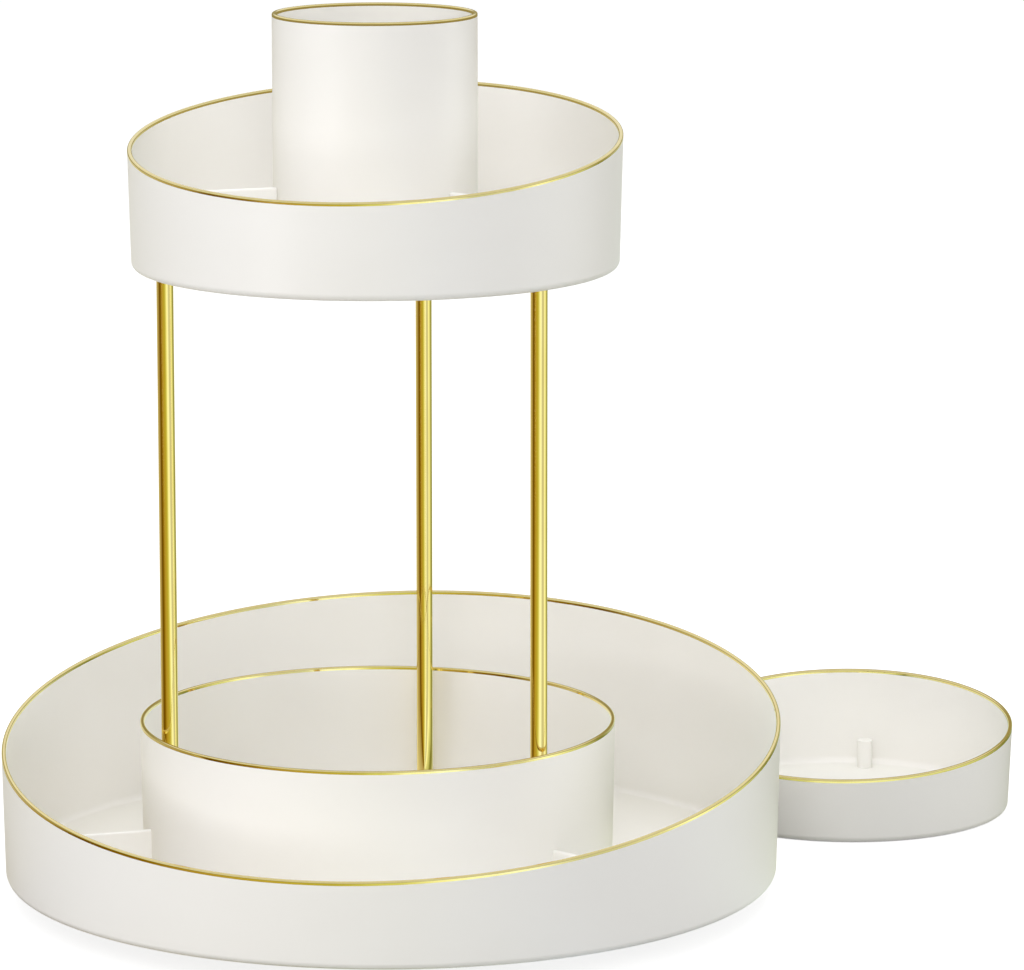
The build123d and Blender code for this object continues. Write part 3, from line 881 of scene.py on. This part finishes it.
class ORGANIZER_OT_dividers(bpy.types.Operator):
    """Model the six divider plates"""

    bl_idname = "organizer.dividers"
    bl_label = "Dividers"

    def execute(self, context):
        scene = context.scene
        shared, ring, cup = scene.organizer_shared, scene.organizer_ring, scene.organizer_cup
        bottom, upper = scene.organizer_bottom, scene.organizer_upper
        bite = shared.wall / 2
        for name, angle in POST_ANGLES.items():
            low = TRAY_FLOOR - shared.sink
            high = TRAY_BOTTOM + bottom.divider_top
            inside = bottom.radius - shared.wall + math.tan(bottom.draft) * shared.floor
            far = wall_reach(CORE[0], angle, inside) + bite
            piece = divider(f"bottom_plate_{name}", angle, low, high, ring.radius - bite, far,
                            math.tan(bottom.draft) * (high - low))
            dress(piece, shell_material(), "carousel", "gloss_shell", f"bottom_divider_{name}")
            low = UPPER_FLOOR - shared.sink
            high = UPPER_BOTTOM + upper.divider_top
            far = upper.radius - shared.wall + math.tan(upper.draft) * shared.floor + bite
            piece = divider(f"upper_plate_{name}", angle, low, high, cup.radius + cup.lift_gap, far,
                            math.tan(upper.draft) * (high - low))
            dress(piece, shell_material(), "carousel", "gloss_shell", f"upper_divider_{name}")
        return {"FINISHED"}


class ORGANIZER_OT_posts(bpy.types.Operator):
    """Model the three gold posts"""

    bl_idname = "organizer.posts"
    bl_label = "Posts"

    def execute(self, context):
        radius = context.scene.organizer_posts.radius
        edge = context.scene.organizer_shared.edge
        gold = shared_material("drawn_gold_post", gold_finish, "drawn_gold_post", True)
        for name, centre in post_places().items():
            disc(centre, TRAY_FLOOR, POST_TOP, radius, POST_FACETS)
            round_edges(lambda side: level(side, TRAY_FLOOR) or level(side, POST_TOP), edge, 3)
            piece = polish(f"gold_post_{name}")
            dress(piece, gold, "carousel", "gold", f"post_{name}")
        return {"FINISHED"}


class ORGANIZER_OT_foot(bpy.types.Operator):
    """Give the foot, the ball race and the screws their finishes"""

    bl_idname = "organizer.foot"
    bl_label = "Foot and ball race"

    def execute(self, context):
        colours = context.scene.organizer_colours
        plastic = plain_finish("matt_foot_plastic", colours.foot, metallic=0.0, roughness=0.55,
                               uneven=0.14, coarse=30.0, fine=1400.0, relief=0.00008)
        rubber = plain_finish("soft_rubber", colours.rubber, metallic=0.0, roughness=0.8,
                              uneven=0.2, coarse=60.0, fine=1800.0, relief=0.0001)
        steel = plain_finish("plated_steel", colours.steel, metallic=1.0, roughness=0.28,
                             uneven=0.14, coarse=200.0, fine=2400.0, relief=0.00002)
        nylon = plain_finish("natural_nylon", colours.cage, metallic=0.0, roughness=0.45,
                             uneven=0.12, coarse=80.0, fine=1500.0, relief=0.00005)
        rows = {"foot_plate": plastic, "rotor_plate": plastic, "foot_pads": rubber,
                "pivot_cover": rubber, "bearing_balls": steel, "pivot_washer": steel,
                "pivot_screw": steel, "post_screws": steel, "ball_cage": nylon}
        for node, material in rows.items():
            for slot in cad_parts[node].material_slots:
                slot.material = material
        return {"FINISHED"}


# Painted reflections: glowing cards round, over and under the object, which light nothing and which
# only mirrored rays see. They are a closed drum, and CARD_BLEND has the heights between which
# MIRRORED gives way to OVERHEAD.
CARD_RADIUS = 0.85
CARD_LIFT = 0.001
CARD_HEIGHT = 1.3
CARD_FACETS = 96
CARD_BLEND = (0.13, 0.22)

# Painted reflection shades of the low part, by bearing in degrees from +X
MIRRORED = [
    (-180, (0.46, 0.38, 0.18)),
    (-172, (0.40, 0.32, 0.11)),
    (-155, (0.15, 0.08, 0.0)),
    (-137, (0.25, 0.15, 0.0)),
    (-121, (0.46, 0.34, 0.05)),
    (-106, (0.53, 0.44, 0.07)),
    (-91, (0.54, 0.51, 0.08)),
    (-77, (0.72, 0.76, 0.28)),
    (-62, (1.15, 1.27, 1.02)),
    (-47, (1.12, 1.28, 1.28)),
    (-32, (0.66, 0.72, 0.64)),
    (-16, (0.74, 0.79, 0.69)),
    (2, (1.16, 1.31, 1.08)),
    (23, (0.71, 0.78, 0.45)),
    (48, (0.21, 0.24, 0.05)),
    (66, (0.50, 0.56, 0.40)),
    (85, (0.80, 0.88, 0.78)),
    (125, (0.84, 0.82, 0.64)),
    (158, (0.58, 0.54, 0.36)),
    (180, (0.46, 0.38, 0.18)),
]

# Painted reflection shades of the high part, by height as a share of CARD_HEIGHT
OVERHEAD = [
    (0.10, (0.70, 0.66, 0.42)),
    (0.20, (0.30, 0.25, 0.10)),
    (0.30, (0.36, 0.31, 0.14)),
    (0.42, (0.85, 0.85, 0.80)),
    (1.00, (0.68, 0.69, 0.66)),
]

# The floor: paper where it only takes light, and paler paper with a glow where it is seen
FLOOR_SIZE = 16.0
FLOOR_PAPER = (0.42, 0.42, 0.415, 1.0)
FLOOR_SEEN = (0.4, 0.4, 0.4, 1.0)
FLOOR_GLOW = 0.82
WHITE = (1.0, 1.0, 1.0, 1.0)

# Each lamp's bearing and height in degrees, its distance from LAMP_AIM and its width
LAMP_AIM = (0.0, 0.0, 0.15)
LAMPS = {
    "key": (-144.0, 4.0, 2.0, 1.2),
    "wash": (-124.0, -6.0, 1.0, 0.3),
    "high": (-130.0, 40.0, 2.0, 1.0),
    "fill": (22.0, 8.0, 2.0, 1.0),
    "front": (-78.0, 25.0, 2.0, 1.0),
    "back": (110.0, 40.0, 2.0, 1.0),
    "top": (-60.0, 86.0, 2.0, 2.4),
}


def painted_reflection_finish():
    """Painted reflections: shades by bearing and height that only mirrored rays see."""
    finish = Finish("studio_cards")
    bearing = finish.add("ShaderNodeTexGradient", {"gradient_type": "RADIAL"},
                         {"Vector": finish.place}, output=1)
    low = finish.add("ShaderNodeValToRGB",
                     {"stops": [((angle + 180) / 360, shade) for angle, shade in MIRRORED],
                      "interpolation": "EASE"}, {0: bearing})
    height = finish.add("ShaderNodeSeparateXYZ", None, {0: finish.place}, output=2)
    high = finish.add("ShaderNodeValToRGB", {"stops": OVERHEAD, "interpolation": "EASE"},
                      {0: height / CARD_HEIGHT})
    shade = finish.mix(finish.stepped(height, *CARD_BLEND), low, high)
    light = finish.add("ShaderNodeEmission", None, {"Color": shade, "Strength": 1.0})
    finish.add("ShaderNodeOutputMaterial", None, {"Surface": light})
    return finish.material


def floor_finish():
    """White to the camera and in reflections, with the object's soft shadow kept."""
    finish = Finish("white_floor")
    seen = finish.looked_at()
    paper = finish.add("ShaderNodeBsdfDiffuse", None, {"Color": FLOOR_PAPER})
    shaded = finish.add("ShaderNodeBsdfDiffuse", None, {"Color": FLOOR_SEEN})
    glow = finish.add("ShaderNodeEmission", None, {"Color": WHITE, "Strength": FLOOR_GLOW})
    white = finish.add("ShaderNodeAddShader", None, {0: glow, 1: shaded})
    surface = finish.add("ShaderNodeMixShader", None, {0: seen, 1: paper, 2: white})
    finish.add("ShaderNodeOutputMaterial", None, {"Surface": surface})
    return finish.material


def soft_lamp(name, bearing, height, distance, size, power):
    """A round soft lamp that looks at the middle of the object."""
    lamp = bpy.data.lights.new(name, "AREA")
    lamp.shape = "DISK"
    lamp.size = size
    lamp.energy = power
    lamp_object = bpy.data.objects.new(name, lamp)
    bpy.context.scene.collection.objects.link(lamp_object)
    turn = math.radians(bearing)
    lift = math.radians(height)
    way = Vector((math.cos(turn) * math.cos(lift), math.sin(turn) * math.cos(lift), math.sin(lift)))
    lamp_object.location = Vector(LAMP_AIM) + way * distance
    lamp_object.rotation_euler = way.to_track_quat("Z", "Y").to_euler()
    return lamp_object


class ORGANIZER_OT_studio(bpy.types.Operator):
    """Set up the floor, the mirrored cards of painted reflections, the lamps, the sky and the
    camera
    """

    bl_idname = "organizer.studio"
    bl_label = "Studio"

    def execute(self, context):
        scene = context.scene
        settings = scene.organizer_studio
        scene.view_settings.view_transform = "Standard"
        object_mode()
        bpy.ops.object.select_all(action="DESELECT")
        bpy.ops.mesh.primitive_plane_add(size=FLOOR_SIZE, location=(0.0, 0.0, TABLE))
        floor = bpy.context.object
        floor.name = "studio_floor"
        floor.data.materials.append(floor_finish())
        bpy.ops.object.select_all(action="DESELECT")
        # The cards glow only in mirrors and light nothing: painted reflections for the gold and the
        # gloss
        cards = disc((0.0, 0.0), CARD_LIFT, CARD_HEIGHT, CARD_RADIUS, CARD_FACETS)
        bpy.ops.mesh.primitive_circle_add(
            vertices=CARD_FACETS, radius=settings.tray_card_radius, fill_type="NGON",
            location=(0.0, 0.0, TRAY_FLOOR - scene.organizer_shared.sink))
        object_mode()
        cards.name = "studio_cards"
        cards.data.materials.append(painted_reflection_finish())
        for rays in ("visible_camera", "visible_diffuse", "visible_shadow",
                     "visible_transmission", "visible_volume_scatter"):
            setattr(cards, rays, False)

        for name, placing in LAMPS.items():
            lamp = soft_lamp(f"{name}_lamp", *placing, getattr(settings, f"{name}_power"))
            lamp.visible_glossy = name != "top"

        world = bpy.data.worlds.new("studio_sky")
        world.use_nodes = True
        scene.world = world
        nodes = Nodes(world.node_tree)
        strength = settings.sky + nodes.looked_at() * (1.0 - settings.sky)
        sky = nodes.add("ShaderNodeBackground", None, {"Color": WHITE, "Strength": strength})
        nodes.add("ShaderNodeOutputWorld", None, {"Surface": sky})

        camera = bpy.data.cameras.new("photo_camera")
        camera.lens = settings.lens
        camera.sensor_width = 36.0
        camera.sensor_fit = "HORIZONTAL"
        camera.clip_start = 0.05
        camera.clip_end = 60.0
        camera_object = bpy.data.objects.new("photo_camera", camera)
        scene.collection.objects.link(camera_object)
        camera_object.location = settings.camera_place
        camera_object.rotation_euler = settings.camera_turn
        scene.camera = camera_object
        return {"FINISHED"}


class ORGANIZER_PT_panel(bpy.types.Panel):
    """The sidebar panel that lists the pieces"""

    bl_idname = "ORGANIZER_PT_panel"
    bl_label = "Tray organizer"
    bl_space_type = "VIEW_3D"
    bl_region_type = "UI"
    bl_category = "Organizer"

    def draw(self, context):
        for operator in OPERATORS:
            self.layout.operator(operator.bl_idname)
        for key, _ in GROUPS:
            group = getattr(context.scene, key)
            column = self.layout.column(align=True)
            for name in group.bl_rna.properties.keys():
                if name not in {"rna_type", "name"}:
                    column.prop(group, name)


OPERATORS = (
    ORGANIZER_OT_bottom_tray,
    ORGANIZER_OT_inner_ring,
    ORGANIZER_OT_upper_tray,
    ORGANIZER_OT_brush_cup,
    ORGANIZER_OT_loose_tray,
    ORGANIZER_OT_rims,
    ORGANIZER_OT_dividers,
    ORGANIZER_OT_posts,
    ORGANIZER_OT_foot,
    ORGANIZER_OT_studio,
)

GROUPS = (
    ("organizer_shared", SharedSizes),
    ("organizer_bottom", BottomTraySizes),
    ("organizer_upper", UpperTraySizes),
    ("organizer_loose", LooseTraySizes),
    ("organizer_ring", RingSizes),
    ("organizer_cup", CupSizes),
    ("organizer_rims", RimSizes),
    ("organizer_posts", PostSizes),
    ("organizer_colours", OrganizerColours),
    ("organizer_studio", StudioSettings),
)


def register():
    for key, group in GROUPS:
        bpy.utils.register_class(group)
        setattr(bpy.types.Scene, key, PointerProperty(type=group))
    for operator in OPERATORS:
        bpy.utils.register_class(operator)
    bpy.utils.register_class(ORGANIZER_PT_panel)


def unregister():
    bpy.utils.unregister_class(ORGANIZER_PT_panel)
    for operator in reversed(OPERATORS):
        bpy.utils.unregister_class(operator)
    for key, group in reversed(GROUPS):
        delattr(bpy.types.Scene, key)
        bpy.utils.unregister_class(group)


def main():
    register()
    bpy.ops.organizer.bottom_tray()
    bpy.ops.organizer.inner_ring()
    bpy.ops.organizer.upper_tray()
    bpy.ops.organizer.brush_cup()
    bpy.ops.organizer.loose_tray()
    bpy.ops.organizer.rims()
    bpy.ops.organizer.dividers()
    bpy.ops.organizer.posts()
    bpy.ops.organizer.foot()
    bpy.ops.organizer.studio()


if __name__ == "__main__":
    main()
